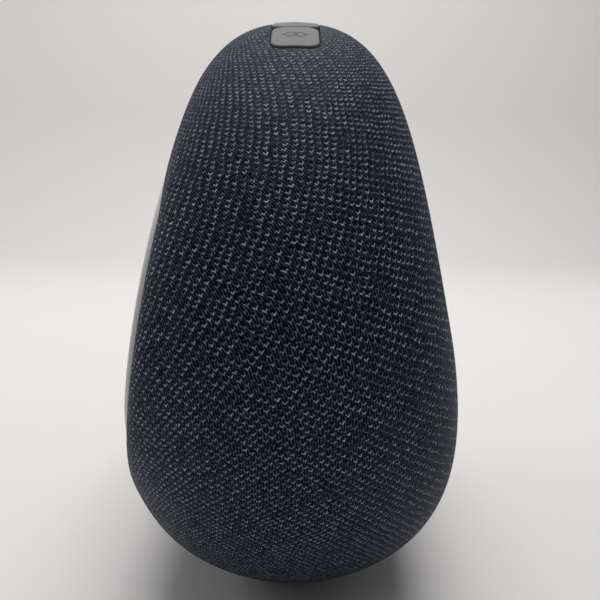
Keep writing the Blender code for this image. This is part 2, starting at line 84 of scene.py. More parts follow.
def start(name, base=None, **values):
    """A new material and its Principled shader. The values go on the shader's own sockets."""
    made = bpy.data.materials.new(name)
    made.use_nodes = True
    shader = made.node_tree.nodes["Principled BSDF"]
    if base:
        shader.inputs["Base Color"].default_value = linear(base)
    for key, value in values.items():
        shader.inputs[key.replace("_", " ")].default_value = value
    return made, shader


def add(material, kind, inputs=(), out=0, **settings):
    """Add a node; inputs are numbers or sockets, in order or by name. Returns its output socket."""
    tree = material.node_tree
    made = tree.nodes.new("ShaderNode" + kind)
    for key, value in settings.items():
        setattr(made, key, value)
    for key, value in (inputs.items() if isinstance(inputs, dict) else enumerate(inputs)):
        if isinstance(value, bpy.types.NodeSocket):
            tree.links.new(value, made.inputs[key])
        elif value is not None:
            made.inputs[key].default_value = value
    return made.outputs[out]


def feed(material, shader, **sockets):
    """Link sockets to the shader's inputs."""
    for key, socket in sockets.items():
        material.node_tree.links.new(socket, shader.inputs[key.replace("_", " ")])


print("colour and node helpers are ready")

# %% [markdown]
# The camera looks at the +X end of the hub, a little from above, from close by, as someone who leans over
# the table would see it. The nearness makes the end swell and the crown shrink, so the place comes first
# and the lens follows from it. The camera is held half a degree askew.

# %% Camera
EYE = Vector((277.1, 1.7, 116.7)) * MM
EYE_PITCH = 8.9
EYE_ROLL = 0.5
FOCAL_SHARE = 1.5      # focal length over the width of the picture

lens = bpy.data.cameras.new("camera")
lens.sensor_width = 36.0
lens.lens = lens.sensor_width * FOCAL_SHARE
lens.clip_start = 0.01
camera = bpy.data.objects.new("camera", lens)
turn = Matrix.Rotation(math.pi / 2, 4, "Z") @ Matrix.Rotation(math.radians(90.0 - EYE_PITCH), 4, "X")
camera.matrix_world = Matrix.Translation(EYE) @ turn @ Matrix.Rotation(math.radians(EYE_ROLL), 4, "Z")
bpy.context.scene.collection.objects.link(camera)
bpy.context.scene.camera = camera
bpy.context.scene.view_settings.view_transform = "Standard"
print("the lens is", lens.lens, "mm")

# %% [markdown]
# The studio is a sheet of white card that lies on the table and curls up behind. It is one strip bent
# round a quarter circle, so there is no corner to catch the eye.

# %% Card sweep
SWEEP_NEAR = 0.50
SWEEP_FAR = -0.74
SWEEP_CURL = 0.18
SWEEP_HALF = 1.8
SWEEP_TOP = 1.6
CURL_STEPS = 20


def card_sweep():
    profile = [(SWEEP_NEAR, 0.0), (SWEEP_FAR, 0.0)]
    for step in range(1, CURL_STEPS + 1):
        angle = math.pi / 2 * step / CURL_STEPS
        profile.append((SWEEP_FAR - SWEEP_CURL * math.sin(angle), SWEEP_CURL * (1 - math.cos(angle))))
    profile.append((SWEEP_FAR - SWEEP_CURL, SWEEP_TOP))
    mesh = bpy.data.meshes.new("card_sweep")
    points = [(x, side * SWEEP_HALF, z) for x, z in profile for side in (-1, 1)]
    faces = [(2 * i, 2 * i + 1, 2 * i + 3, 2 * i + 2) for i in range(len(profile) - 1)]
    mesh.from_pydata(points, [], faces)
    mesh.shade_smooth()
    made = bpy.data.objects.new("card_sweep", mesh)
    bpy.context.scene.collection.objects.link(made)
    card, shader = start("matte_card", "#dedcdb", Roughness=0.9)
    grain = add(card, "TexNoise", {"Scale": 900.0, "Detail": 2.0})
    feed(card, shader, Normal=add(card, "Bump", {"Strength": 0.08, "Distance": 0.1 * MM, "Height": grain}))
    mesh.materials.append(card)
    return made


sweep = card_sweep()
print("the sweep has", len(sweep.data.polygons), "faces")

# %% [markdown]
# Soft boxes stand round the card, as in a light tent: one overhead, one on each side, one in front and a
# small one that is turned to the wall. The one on the right is the weakest. The crown is then the lightest
# part of the hub, and the end that faces the camera stays dark. The room adds very little.

# %% Lights
def soft_box(name, size, place, aim, watts, colour):
    data = bpy.data.lights.new(name, "AREA")
    data.shape = "RECTANGLE"
    data.size, data.size_y = size
    data.energy = watts
    data.color = linear(colour)[:3]
    made = bpy.data.objects.new(name, data)
    made.location = place
    made.rotation_euler = (Vector(aim) - Vector(place)).to_track_quat("-Z", "Y").to_euler()
    bpy.context.scene.collection.objects.link(made)


soft_box("overhead_light", (0.7, 0.9), (-0.24, 0.03, 1.00), (0.16, 0.01, 0.0), 8.2, "#fffefd")
soft_box("left_light", (0.7, 0.8), (-0.42, -0.95, 0.40), (0.10, 0.0, 0.05), 3.1, "#fffefd")
soft_box("right_light", (0.7, 0.8), (-0.42, 0.95, 0.40), (0.10, 0.0, 0.05), 0.5, "#fffefd")
soft_box("front_light", (0.5, 0.5), (0.60, 0.08, 1.00), (0.14, 0.0, 0.0), 2.4, "#fffefd")
soft_box("wall_light", (0.25, 0.25), (-0.50, 0.0, 0.62), (-0.74, 0.0, 0.34), 0.75, "#fffdfb")
world = bpy.data.worlds.new("room")
world.use_nodes = True
world.node_tree.nodes["Background"].inputs["Color"].default_value = linear("#f2f5fa")
world.node_tree.nodes["Background"].inputs["Strength"].default_value = 0.17
bpy.context.scene.world = world

# %% [markdown]
# The body's outer shape follows two profiles: how wide and how deep it is at each height. Both are
# superellipses, where one power says how square or how pointed a curve is. The CAD shell has the same
# profiles.

# %% The body's shape, in millimetres
HEIGHT = 152.0
HALF_WIDTH = 105.0
END_REACH = 75.0
OUTLINE_POWERS = (1.74, 1.79)
DEPTH_POWERS = (1.77, 2.40)
DEPTHS = (69.4, 35.1, -15.0)
CAP_SHARE = 0.983
FRONT_FOOT = 49.6
FRONT_SLOPE = 0.178
FRONT_LEAN = math.atan(FRONT_SLOPE)
PANEL_HEIGHT = 83.0


def swell(share, power):
    return np.maximum(1.0 - share ** power, 0.0) ** (1.0 / power)


def half_width(z):
    share = np.abs(2.0 * z / HEIGHT - 1.0)
    low, high = (swell(share, power) for power in OUTLINE_POWERS)
    return HALF_WIDTH - END_REACH + END_REACH * np.where(z < HEIGHT / 2, low, high)


def half_depth(z):
    share = np.abs(2.0 * z / HEIGHT - 1.0)
    low, high = (swell(share, power) for power in DEPTH_POWERS)
    rise = z / HEIGHT
    base = DEPTHS[0] + (DEPTHS[1] - DEPTHS[0]) * rise + DEPTHS[2] * 4.0 * rise * (1.0 - rise)
    return base * np.where(z < HEIGHT / 2, low, high)


def section(z):
    """Half width, half depth and length of the end cap at height z."""
    width, depth = half_width(z), half_depth(z)
    return width, depth, np.minimum(depth * CAP_SHARE, width)


def cap_share(x, z):
    """How far round the end cap x lies: 0 on the straight side, 1 at the tip."""
    width, depth, cap = section(z)
    return np.clip((np.abs(x) - (width - cap)) / np.maximum(cap, 1e-6), 0.0, 1.0)


def ridge_height(x):
    reach = np.maximum(np.abs(x) - (HALF_WIDTH - END_REACH), 0.0) / END_REACH
    return HEIGHT / 2 * (1.0 + swell(reach, OUTLINE_POWERS[1]))


def ridge_tilt(x):
    return math.atan2(float(ridge_height(x - 0.5) - ridge_height(x + 0.5)), 1.0)


print("half depth at a third of the height:", round(float(half_depth(np.array(50.0))), 1), "mm")

# %% [markdown]
# The front is a flat pill-shaped face. Each piece of it is modelled lying flat, in a frame of its own, and
# then stood up. The frame's X runs along the hub, its Y climbs the face and its Z looks out of it.

# %% The front's own frame
PANEL_STRAIGHT = 42.0
BEZEL_OUTER = 40.5
HUG_WIDTH = 9.0        # the cloth rises to meet the rim over this width
HUG_SINK = 1.5         # and stops this far below the rim's face

panel_origin = Vector((0.0, -(FRONT_FOOT - FRONT_SLOPE * PANEL_HEIGHT), PANEL_HEIGHT)) * MM
front_frame = Matrix.Translation(panel_origin) @ Matrix.Rotation(math.pi / 2 - FRONT_LEAN, 4, "X")


def pill_distance(a, b, straight, radius):
    return np.hypot(np.maximum(np.abs(a) - straight, 0.0), b) - radius


def panel_distance(x, y, z):
    """Distance from the rim's outer edge, measured up and along the leaning face."""
    climb = (y - panel_origin.y / MM) * math.sin(FRONT_LEAN) + (z - PANEL_HEIGHT) * math.cos(FRONT_LEAN)
    return pill_distance(x, climb, PANEL_STRAIGHT, BEZEL_OUTER)


def skin_y(x, y, z):
    """The body's surface at (x, z), on the side that y is on. At the front it rises to the rim."""
    depth = half_depth(z) * np.sqrt(1.0 - cap_share(x, z) ** 2)
    face = FRONT_FOOT - FRONT_SLOPE * z - HUG_SINK
    hug = np.exp(-(np.maximum(panel_distance(x, -face, z), 0.0) / HUG_WIDTH) ** 2)
    return np.where(y < 0.0, -(depth + np.maximum(face - depth, 0.0) * hug), depth)


def show(name, mesh, place, body, material, replaces=()):
    """Set a finished mesh in place, with its material, riding on its body."""
    made = bpy.data.objects.new(name, mesh)
    bpy.context.scene.collection.objects.link(made)
    made.matrix_world = place
    mesh.materials.clear()
    mesh.materials.append(material)
    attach(made, body)
    if replaces:
        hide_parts(*replaces)
    print(name, "has", len(mesh.polygons), "faces")
    return made


# %% [markdown]
# ## The knitted sleeve
# The cloth is an eyelet knit pulled over the shell like a sock. It could be built loop by loop, but twenty
# thousand loops make a heavy mesh. A smooth skin whose material draws the loops gives the same look, as
# long as the skin knows where each loop lies. So the skin is a grid of points on the body, and each point
# carries its place in the knit, counted in stitches.

# %% A grid of points on the body
QUARTER = 60           # steps along a quarter of each ring
RINGS = 118
POLE = 0.035           # the rings stop this angle short of the poles


def ring_points(z):
    """Points at even steps round one level of the body, from the +X tip and on by the back."""
    width, depth, cap = (float(v) for v in section(np.array(z)))
    turn = np.linspace(0.0, math.pi / 2, 91)
    xs = np.append(width - cap + cap * np.cos(turn), 0.0)
    ys = np.append(depth * np.sin(turn), depth)
    arc = np.append(0.0, np.cumsum(np.hypot(np.diff(xs), np.diff(ys))))
    even = np.linspace(0.0, arc[-1], QUARTER + 1)
    qx, qy = np.interp(even, arc, xs), np.interp(even, arc, ys)
    x = np.concatenate([qx, -qx[-2::-1], -qx[1:], qx[-2:0:-1]])
    y = np.concatenate([qy, qy[-2::-1], -qy[1:], -qy[-2:0:-1]])
    level = np.full(len(x), z)
    return np.stack([x, skin_y(x, y, level) * (y != 0.0), level], 1)


levels = HEIGHT / 2 * (1.0 - np.cos(np.linspace(POLE, math.pi - POLE, RINGS)))
grid = np.concatenate([ring_points(z) for z in levels])
RING_SIZE = len(grid) // RINGS
print(RINGS, "rings of", RING_SIZE, "points")

# %% [markdown]
# The sleeve has four openings: the front panel, the strip of keys, the base and the power inlet. Each is a
# rounded outline, so each is one distance function. Faces inside an outline are dropped, the points left
# along it are moved onto it, and the edge is rolled inwards, as the hem of a fitted cover is.

# %% Openings
HEM = 0.3              # radius that the edge of the cloth rolls over
HEM_TUCK = 2.6         # how deep the hem goes, in radii
KEY_SLOT = (62.2, 5.98, 3.5)
BASE_SLOT = (30.0, 13.1)
INLET_SLOT = (6.8, 3.8, 3.2)
INLET_HEIGHT = 26.0
FAR = 99.0             # stands for "not near this opening"
CLOTH_GAP = 0.15       # between the rim and the cloth
CROWN_FROM = 100.0     # the keys' opening lies above this height
BASE_UP_TO = 25.0      # the base's opening lies below this one
BACK_FROM = 20.0       # and the inlet's lies behind this depth


def box_distance(a, b, half_a, half_b, corner):
    da = np.abs(a) - (half_a - corner)
    db = np.abs(b) - (half_b - corner)
    return np.hypot(np.maximum(da, 0.0), np.maximum(db, 0.0)) + np.minimum(np.maximum(da, db), 0.0) - corner


def panel_gap(p):
    return np.where(p[:, 1] < 0.0, panel_distance(*p.T) - CLOTH_GAP - HEM, FAR)


def key_gap(p):
    return np.where(p[:, 2] > CROWN_FROM, box_distance(p[:, 0], p[:, 1], *KEY_SLOT) - HEM, FAR)


def base_gap(p):
    return np.where(p[:, 2] < BASE_UP_TO, pill_distance(p[:, 0], p[:, 1], *BASE_SLOT) - HEM, FAR)


def inlet_gap(p):
    away = box_distance(p[:, 0], p[:, 2] - INLET_HEIGHT, *INLET_SLOT)
    return np.where(p[:, 1] > BACK_FROM, away - HEM, FAR)


GAPS = (panel_gap, key_gap, base_gap, inlet_gap)
SEEN_SIDEWAYS = (panel_gap, inlet_gap)
print("openings:", [gap.__name__ for gap in GAPS])

# %% Points along the surface
def skin_z(x, y, near):
    """Height of the surface over or under (x, y), in the half of the body that near is in."""
    top = near > HEIGHT / 2
    low = np.where(top, HEIGHT / 2, 0.0)
    high = np.where(top, HEIGHT, HEIGHT / 2)
    for _ in range(40):
        middle = (low + high) / 2
        depth = half_depth(middle) * np.sqrt(1.0 - cap_share(x, middle) ** 2)
        inside = (half_width(middle) > np.abs(x)) & (depth > np.abs(y))
        low = np.where(inside == top, middle, low)
        high = np.where(inside == top, high, middle)
    return (low + high) / 2


def settle(p, gap):
    """Points that have been moved, put back on the surface."""
    q = p.copy()
    if gap in SEEN_SIDEWAYS:
        q[:, 1] = skin_y(*q.T)
    else:
        q[:, 2] = skin_z(*q.T)
    return q


def gap_slope(p, gap, step=0.05):
    """The direction along the surface in which an opening's distance grows."""
    slope = np.zeros_like(p)
    for axis in ((0, 2) if gap in SEEN_SIDEWAYS else (0, 1)):
        move = np.zeros(3)
        move[axis] = step
        slope[:, axis] = (gap(settle(p + move, gap)) - gap(settle(p - move, gap))) / (2 * step)
    return slope


def snap(p, gap, rounds=6):
    for _ in range(rounds):
        slope = gap_slope(p, gap)
        size = np.maximum((slope ** 2).sum(1), 1e-6)
        p = settle(p - slope * (gap(p) / size)[:, None], gap)
    return p


print("the crown is", round(float(skin_z(np.array(0.0), np.array(0.0), np.array(150.0))), 1), "mm high")

# %% [markdown]
# The knit's rows and columns don't stay level, because the sock is pulled on. The rows dip towards the
# back, and the columns lean more and more on the way down. `around` is the length along a row from the
# tip of the body's end, growing towards the back, and `down` is the length from the crown. Two smooth
# functions of them count the columns and the rows. The other end of the body is a mirror image.

# %% Place in the knit
COLUMNS_PER_MM = 0.54
ROWS_PER_MM = 0.65
MIDDLE_DOWN = 90.0
SETTLE_WIDTH = 45.0    # away from the ends, the pull dies out over this length
LEAN_WIDTH = 110.0
LEAN = (0.155, 0.0035)  # columns of lean for each millimetre down, and for its square
GATHER = 0.0028        # the columns crowd together towards the back
OPEN_COLUMNS = 0.001   # and open out on the way down
OPEN_ROWS = 0.00135    # as the rows do
DIP = (0.16, 0.0038)   # how far the rows dip towards the back, and how that grows on the way down


def lengths_down(half):
    """Length of cloth from the crown down to each height, along the profile that half gives."""
    z = HEIGHT / 2 * (1.0 + np.cos(np.linspace(0.0, math.pi, 400)))
    total = np.append(0.0, np.cumsum(np.hypot(np.diff(half(z)), np.diff(z))))
    return z[::-1], total[::-1]


END_DOWN = lengths_down(half_width)
SIDE_DOWN = lengths_down(half_depth)
SIDE_START = float(np.interp(HEIGHT / 2, *END_DOWN) - np.interp(HEIGHT / 2, *SIDE_DOWN))


def cloth_place(p):
    """Length around and length down, in millimetres, for points on the surface."""
    z = np.clip(p[:, 2], 0.001, HEIGHT - 0.001)
    width, depth, cap = section(z)
    bend = (cap + depth) / 2
    quarter = bend * math.pi / 2 + width - cap
    arc = bend * np.arccos(cap_share(p[:, 0], z))
    arc += np.maximum(width - cap - np.abs(p[:, 0]), 0.0)
    share = np.clip(arc / quarter, 0.0, 1.0)
    widest = bend.max() * math.pi / 2 + (width - cap).max()
    arc += (widest - quarter) * (1.0 - np.cos(math.pi / 2 * share))
    end, side = np.interp(z, *END_DOWN), SIDE_START + np.interp(z, *SIDE_DOWN)
    fade = share ** 2 * (3.0 - 2.0 * share)
    return np.where(p[:, 1] < 0.0, -arc, arc), end + (side - end) * fade


def count_stitches(around, down):
    """How many columns and rows lie between a point and the start of the knit."""
    low = down - MIDDLE_DOWN
    held = SETTLE_WIDTH * np.tanh(around / SETTLE_WIDTH)
    lean = (LEAN[0] * low + LEAN[1] * low ** 2) / (1.0 + (around / LEAN_WIDTH) ** 2)
    columns = COLUMNS_PER_MM * around + GATHER * held ** 2 - OPEN_COLUMNS * low * held + lean
    rows = ROWS_PER_MM * low - OPEN_ROWS * low ** 2 - (DIP[0] + DIP[1] * low) * held
    return np.stack([columns, rows], 1)


def stitch_steps(around, down, step=0.5):
    """The way from one column to the next and from one row to the next, in millimetres."""
    across = (count_stitches(around + step, down) - count_stitches(around - step, down)) / (2 * step)
    along = (count_stitches(around, down + step) - count_stitches(around, down - step)) / (2 * step)
    area = across[:, 0] * along[:, 1] - across[:, 1] * along[:, 0]
    return np.stack([along[:, 1], -across[:, 1], -along[:, 0], across[:, 0]], 1) / area[:, None]


middle_step = stitch_steps(np.array([0.0]), np.array([100.0]))[0]
print("a stitch at mid-height is", round(math.hypot(*middle_step[:2]), 2), "mm wide and",
      round(math.hypot(*middle_step[2:]), 2), "mm tall")

# %% Sew the sleeve
def hem_edges(bm):
    """Roll every open edge of the cloth inwards over a small radius, then tuck it in."""
    edges = [e for e in bm.edges if e.is_boundary]
    rims = [v for v in bm.verts if v.is_boundary]
    roll = {}
    for v in rims:
        place = np.array([v.co])
        gap = GAPS[int(np.argmin([abs(g(place)[0]) for g in GAPS]))]
        out = Vector(gap_slope(place, gap)[0])
        out -= out.dot(v.normal) * v.normal
        roll[v] = (v.co.copy(), -out.normalized(), v.normal.copy())
    turns = [math.radians(degrees) for degrees in (22, 45, 68, 90)]
    for out, sink in [(math.sin(a), 1 - math.cos(a)) for a in turns] + [(1.0, HEM_TUCK)]:
        made = bmesh.ops.extrude_edge_only(bm, edges=edges)["geom"]
        edges = [g for g in made if isinstance(g, bmesh.types.BMEdge) and g.is_boundary]
        fresh = {}
        for v in (g for g in made if isinstance(g, bmesh.types.BMVert)):
            fresh[v] = next(roll[e.other_vert(v)] for e in v.link_edges if e.other_vert(v) in roll)
        roll = fresh
        for v, (place, inward, up) in roll.items():
            v.co = place + (inward * out - up * sink) * HEM


def sew_sleeve():
    bm = bmesh.new()
    verts = [bm.verts.new(p) for p in grid]
    cells = []
    for r in range(RINGS - 1):
        for c in range(RING_SIZE):
            d = (c + 1) % RING_SIZE
            cells.append([(r + i) * RING_SIZE + k for i, k in ((0, c), (0, d), (1, d), (1, c))])
    middles = grid[np.array(cells)].mean(1)
    keep = np.all([gap(middles) > 0.0 for gap in GAPS], axis=0)
    for cell, kept in zip(cells, keep):
        if kept:
            bm.faces.new([verts[i] for i in cell])
    bmesh.ops.delete(bm, geom=[v for v in bm.verts if not v.link_faces], context="VERTS")
    bmesh.ops.recalc_face_normals(bm, faces=bm.faces)
    rims = [v for v in bm.verts if v.is_boundary]
    edge = np.array([v.co for v in rims])
    nearest = np.argmin([np.abs(gap(edge)) for gap in GAPS], axis=0)
    for number, gap in enumerate(GAPS):
        chosen = np.flatnonzero(nearest == number)
        for index, place in zip(chosen, snap(edge[chosen], gap)):
            rims[index].co = place
    bm.normal_update()
    hem_edges(bm)
    bmesh.ops.recalc_face_normals(bm, faces=bm.faces)
    return bm


def mark_stitches(bm):
    """Give every point its count of stitches and the size of a stitch there."""
    around, down = cloth_place(np.array([v.co for v in bm.verts]))
    counts = count_stitches(around, down)
    steps = stitch_steps(around, down)
    count_layer = bm.loops.layers.uv.new("stitch_count")
    step_layer = bm.verts.layers.float_color.new("stitch_step")
    for number, vert in enumerate(bm.verts):
        vert[step_layer] = steps[number]
        for corner in vert.link_loops:
            corner[count_layer].uv = counts[number]


cloth_bm = sew_sleeve()
mark_stitches(cloth_bm)
bmesh.ops.scale(cloth_bm, verts=cloth_bm.verts, vec=(MM, MM, MM))
cloth = bpy.data.meshes.new("knit_sleeve")
cloth_bm.to_mesh(cloth)
cloth_bm.free()
cloth.shade_smooth()
print("the sleeve has", len(cloth.polygons), "faces")

# %% [markdown]
# Polyester yarn, circular-knitted into small eyelets. Each stitch is a dark hole beside a loop of yarn.
# Only the slanting foot of the loop and its right arm stand proud and catch the light, like a tick; that
# light is a painted highlight in the colour, besides the bump. Round it, the plies show as fine slanting
# lines. Every stitch differs in brightness, because its filaments lie differently. The yarn is dyed
# navy-black, and the holes are painted almost black on top of that: painted shade in the eyelets. The
# loose fibres add only a trace of bloom.

# %% Knit material
LOOP_FOOT = ((-0.38, -0.20), (0.12, 0.14))     # ends of a loop's foot, in millimetres
LOOP_ARM = ((0.12, 0.14), (0.36, -0.42))       # and of its right arm
LOOP_STROKE = 0.115    # half the thickness of its yarn
HOLE_PLACE = (-0.24, -0.42)
HOLE_SIZE = 0.50
PLIES = 2.0            # slanting lines to each stitch
FIBRE = 0.45           # size of the tufts of loose fibre, in millimetres
WANDER_SCALE = 0.31    # rows and columns wander over about three stitches
WANDER = 0.7           # by at most half of this, in stitches
JOG = (0.26, 0.20, 0.0)  # room in which each loop is shifted, in millimetres


def away_from_bar(made, place, ends):
    """How far each point of the cloth is from a straight piece of yarn."""
    run = Vector(ends[1]) - Vector(ends[0])
    share = (run / run.length_squared).to_3d()
    offset = add(made, "VectorMath", [place, (*ends[0], 0.0)], operation="SUBTRACT")
    along = add(made, "VectorMath", [offset, share], out=1, operation="DOT_PRODUCT")
    along = add(made, "MapRange", {"Value": along})
    nearest = add(made, "VectorMath", {0: run.to_3d(), "Scale": along}, operation="SCALE")
    return add(made, "VectorMath", [offset, nearest], out=1, operation="DISTANCE")


def knitted_polyester():
    made, shader = start("knitted_polyester_yarn", Roughness=0.5, Sheen_Weight=0.02, Sheen_Roughness=0.3)
    shader.inputs["Sheen Tint"].default_value = linear("#cfd2d8")
    count = add(made, "UVMap", uv_map="stitch_count")
    wander = add(made, "TexNoise", {"Vector": count, "Scale": WANDER_SCALE, "Detail": 2.0}, out=1,
                 noise_dimensions="2D")
    drift = add(made, "VectorMath", [wander, (0.5, 0.5, 0.5)], operation="SUBTRACT")
    drift = add(made, "VectorMath", {0: drift, "Scale": WANDER}, operation="SCALE")
    count = add(made, "VectorMath", [count, drift], operation="ADD")
    cell = add(made, "VectorMath", [count], operation="FLOOR")
    chance = add(made, "TexWhiteNoise", {"Vector": cell}, noise_dimensions="2D")
    other = add(made, "TexWhiteNoise", {"Vector": cell}, out=1, noise_dimensions="2D")
    inside = add(made, "VectorMath", [count, cell], operation="SUBTRACT")
    inside = add(made, "VectorMath", [inside, (0.5, 0.5, 0.0)], operation="SUBTRACT")
    u = add(made, "SeparateXYZ", [inside])
    v = add(made, "SeparateXYZ", [inside], out=1)
    steps = add(made, "Attribute", attribute_name="stitch_step")
    row_x = add(made, "SeparateColor", [steps])
    row_y = add(made, "SeparateColor", [steps], out=1)
    column_x = add(made, "SeparateColor", [steps], out=2)
    column_y = add(made, "Attribute", out=3, attribute_name="stitch_step")
    x = add(made, "Math", [add(made, "Math", [u, row_x], operation="MULTIPLY"),
                           add(made, "Math", [v, column_x], operation="MULTIPLY")], operation="ADD")
    y = add(made, "Math", [add(made, "Math", [u, row_y], operation="MULTIPLY"),
                           add(made, "Math", [v, column_y], operation="MULTIPLY")], operation="ADD")
    spot = add(made, "CombineXYZ", [x, y, 0.0])
    jog = add(made, "VectorMath", [other, (0.5, 0.5, 0.5)], operation="SUBTRACT")
    jog = add(made, "VectorMath", [jog, JOG], operation="MULTIPLY")
    spot = add(made, "VectorMath", [spot, jog], operation="ADD")

    place = add(made, "TexCoord", out=3)
    fibres = add(made, "TexNoise", {"Vector": place, "Scale": 1 / (FIBRE * MM), "Detail": 2.0,
                                    "Roughness": 0.7})
    fibres = add(made, "MapRange", {"Value": fibres, "From Min": 0.38, "From Max": 0.60})
    turn = add(made, "VectorMath", [count, (PLIES, -PLIES, 0.0)], out=1, operation="DOT_PRODUCT")
    turn = add(made, "Math", [fibres, 0.30, turn], operation="MULTIPLY_ADD")
    ply = add(made, "Math", [turn, 2 * math.pi], operation="MULTIPLY")
    ply = add(made, "Math", [ply], operation="SINE")
    ply = add(made, "Math", [ply, 0.5, 0.5], operation="MULTIPLY_ADD")

    foot = away_from_bar(made, spot, LOOP_FOOT)
    arm = away_from_bar(made, spot, LOOP_ARM)
    stroke = add(made, "Math", [foot, arm], operation="MINIMUM")
    loop = add(made, "MapRange", {"Value": stroke, "From Min": LOOP_STROKE + 0.05,
                                  "From Max": LOOP_STROKE - 0.06}, interpolation_type="SMOOTHSTEP")
    hole = add(made, "VectorMath", [spot, (*HOLE_PLACE, 0.0)], out=1, operation="DISTANCE")
    hole = add(made, "MapRange", {"Value": hole, "From Min": HOLE_SIZE, "From Max": HOLE_SIZE * 0.4},
               interpolation_type="SMOOTHSTEP")

    # Painted highlight: the light that the raised foot and right arm of each loop catch, put into the
    # colour.
    painted_highlight = add(made, "Math", [chance, 0.80, 0.20], operation="MULTIPLY_ADD")
    painted_highlight = add(made, "Math", [painted_highlight, loop], operation="MULTIPLY")
    painted_highlight = add(made, "Math", [painted_highlight, add(made, "Math", [fibres, 0.9, 0.35], operation="MULTIPLY_ADD")],
               operation="MULTIPLY")
    near = add(made, "MapRange", {"Value": stroke, "From Min": LOOP_STROKE, "From Max": 0.75, "To Min": 1.0,
                                  "To Max": 0.5})
    open_yarn = add(made, "Math", [ply, ply], operation="MULTIPLY")
    open_yarn = add(made, "Math", [open_yarn, near], operation="MULTIPLY")
    open_yarn = add(made, "Math", [open_yarn, fibres], operation="MULTIPLY")
    # The holes are painted nearly black: painted shade in the eyelets, which the smooth skin does not have.
    hole_shade = add(made, "Math", [hole, -0.85, 1.0], operation="MULTIPLY_ADD")
    open_yarn = add(made, "Math", [open_yarn, hole_shade], operation="MULTIPLY")
    ground = add(made, "Mix", {0: open_yarn, 6: linear("#010203"), 7: linear("#5d6b87")}, out=2,
                 data_type="RGBA")
    # The colour of the painted highlight on the loops, a little different for every stitch.
    highlight_tone = add(made, "Mix", {0: add(made, "SeparateColor", [other]), 6: linear("#98a5bc"),
                             7: linear("#bcc4d0")}, out=2, data_type="RGBA")
    yarn = add(made, "Mix", {0: painted_highlight, 6: ground, 7: highlight_tone}, out=2, data_type="RGBA")
    bright = add(made, "Math", [painted_highlight, open_yarn], operation="MAXIMUM")
    gloss = add(made, "MapRange", {"Value": bright, "From Max": 0.8, "To Min": 0.02, "To Max": 0.24})
    height = add(made, "Math", [ply, 0.25, loop], operation="MULTIPLY_ADD")
    height = add(made, "Math", [height, hole], operation="SUBTRACT")
    bump = add(made, "Bump", {"Strength": 1.0, "Distance": 0.2 * MM, "Height": height})
    feed(made, shader, Base_Color=yarn, Specular_IOR_Level=gloss, Normal=bump)
    return made


knit = knitted_polyester()
sleeve = show("knit_sleeve", cloth, Matrix.Identity(4), "hub", knit, ["fabric_sleeve"])

# %% [markdown]
# The sock is cut from a knitted tube that is narrower than the body's girth, because it is pulled on
# stretched, and longer than the body is tall. The openings take a part of it away.

print("the sock's cloth measures", round(sum(face.area for face in cloth.polygons), 4), "square metres")

# %% [markdown]
# ## The glass front
# The rim is moulded from light grey ABS with a fine satin texture, and the cover is black glass, printed on
# its back, with a display behind it. Both have the same pill outline. The rim is a small profile carried
# round that outline, so its edges can be as round as the mould makes them.

# %% Rim
BEZEL_INNER = 38.0
BEZEL_LEDGE = 36.0
BEZEL_DEEP = 6.0
LEDGE_DEEP = 1.7
RIM_ROUND = 0.8        # radius of the rim's outer edge
LEDGE_ROUND = 0.25     # and of its inner edge
ARC_STEPS = 48


def pill_path(straight):
    """Centre and outward direction for each step round a pill outline."""
    steps = []
    for side in (1, -1):
        for step in range(ARC_STEPS + 1):
            angle = math.pi * (step / ARC_STEPS - side / 2)
            steps.append((side * straight, math.cos(angle), math.sin(angle)))
    return steps


def sweep_profile(name, path, profile):
    """Carry a closed profile of (reach, height) round a path."""
    count = len(profile)
    points = [((cx + r * dx) * MM, r * dy * MM, z * MM) for cx, dx, dy in path for r, z in profile]
    faces = []
    for i in range(len(path)):
        j = (i + 1) % len(path)
        for a in range(count):
            b = (a + 1) % count
            faces.append((i * count + a, j * count + a, j * count + b, i * count + b))
    mesh = bpy.data.meshes.new(name)
    mesh.from_pydata(points, [], faces)
    bm = bmesh.new()
    bm.from_mesh(mesh)
    bmesh.ops.recalc_face_normals(bm, faces=bm.faces)
    bm.to_mesh(mesh)
    bm.free()
    mesh.shade_smooth()
    mesh.set_sharp_from_angle(angle=math.radians(40))
    return mesh


def rounded(corner_r, corner_z, radius, first, last, steps=6):
    """Points of a rounded corner, from one angle to the other, about its own centre."""
    angles = [math.radians(first + (last - first) * i / steps) for i in range(steps + 1)]
    return [(corner_r + radius * math.cos(a), corner_z + radius * math.sin(a)) for a in angles]


def satin_abs():
    """Injection-moulded ABS in light grey, from a spark-textured mould: dull, with a very fine grain."""
    made, shader = start("satin_moulded_abs", Roughness=0.42, Specular_IOR_Level=0.45)
    place = add(made, "TexCoord", out=3)
    grain = add(made, "TexNoise", {"Vector": place, "Scale": 1 / (0.35 * MM), "Detail": 3.0})
    cloud = add(made, "TexNoise", {"Vector": place, "Scale": 1 / (18 * MM), "Detail": 2.0})
    tint = add(made, "Mix", {0: cloud, 6: linear("#d2d3d2"), 7: linear("#dadad8")}, out=2, data_type="RGBA")
    rough = add(made, "MapRange", {"Value": grain, "To Min": 0.36, "To Max": 0.50})
    bump = add(made, "Bump", {"Strength": 0.25, "Distance": 0.03 * MM, "Height": grain})
    feed(made, shader, Base_Color=tint, Roughness=rough, Normal=bump)
    return made


